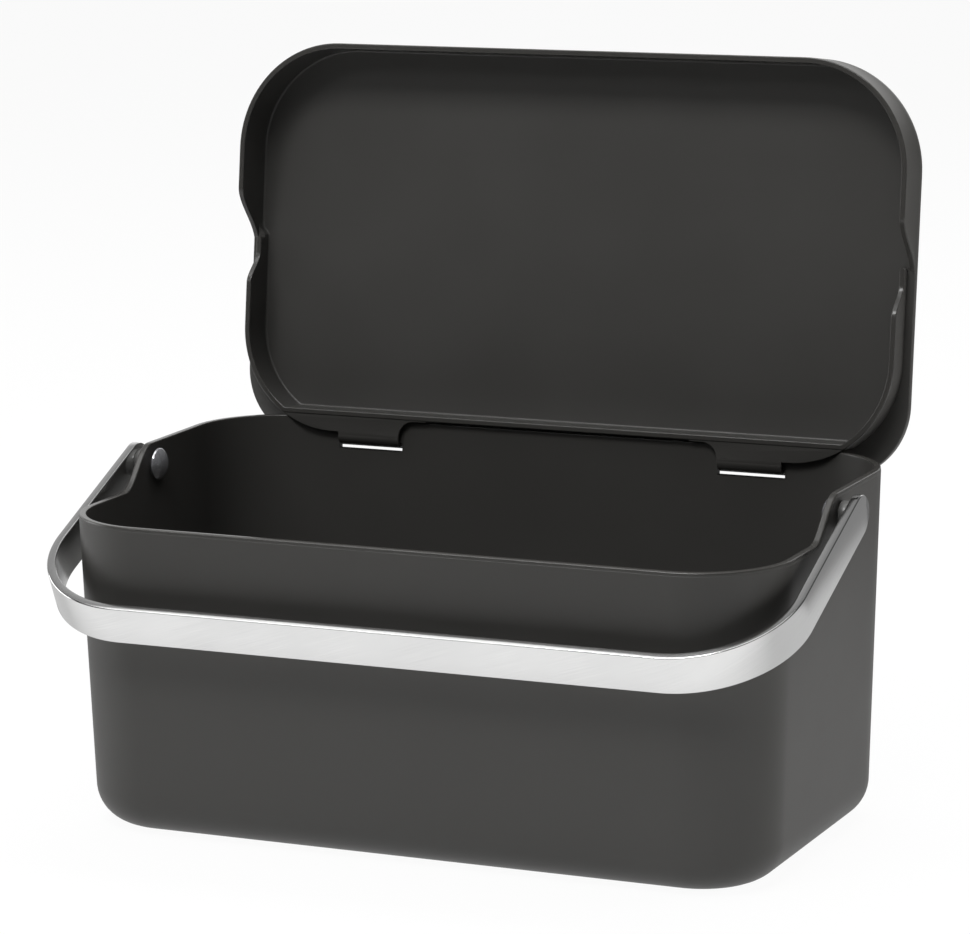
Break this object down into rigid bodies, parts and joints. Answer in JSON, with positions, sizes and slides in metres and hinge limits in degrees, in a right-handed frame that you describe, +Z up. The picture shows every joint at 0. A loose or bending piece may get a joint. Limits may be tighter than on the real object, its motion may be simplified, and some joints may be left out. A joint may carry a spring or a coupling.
{
  "type": "compost caddy",
  "caption": "Counter-top compost caddy: a tapered bin with a stepped rim, a skirted lid on snap hinges that opens past upright, and a steel strap handle.",
  "frame": {"origin": "centre of the flat underside of the base", "axes": "+X to the right, +Y to the back where the lid is hinged, +Z up, with the front and its handle towards -Y"},
  "size_m": [0.2828, 0.1915, 0.2666],
  "materials": {
    "bin_plastic": "fine matt moulded texture",
    "lid_plastic": "fine matt moulded texture",
    "strap_steel": "satin, brushed along the strap",
    "stud_steel": "turned",
    "bush_plastic": "smooth",
    "nut_chrome": "polished"
  },
  "bodies": {
    "bin": {"bin_shell": "bin_plastic"},
    "lid": {"lid_shell": "lid_plastic"},
    "handle": {"handle_strap": "strap_steel", "pivot_stud_left": "stud_steel", "pivot_stud_right": "stud_steel", "spacer_bush_left": "bush_plastic", "spacer_bush_right": "bush_plastic", "cap_nut_left": "nut_chrome", "cap_nut_right": "nut_chrome"}
  },
  "joints": [
    {"name": "lid_hinge", "type": "hinge", "parent": "bin", "child": "lid", "pos_m": [0, 0.07232, 0.1205], "axis": [1, 0, 0], "range_deg": [0, 97.5]},
    {"name": "handle_swing", "type": "hinge", "parent": "bin", "child": "handle", "pos_m": [0, 0.005, 0.1188], "axis": [-1, 0, 0], "range_deg": [0, 150]}
  ]
}
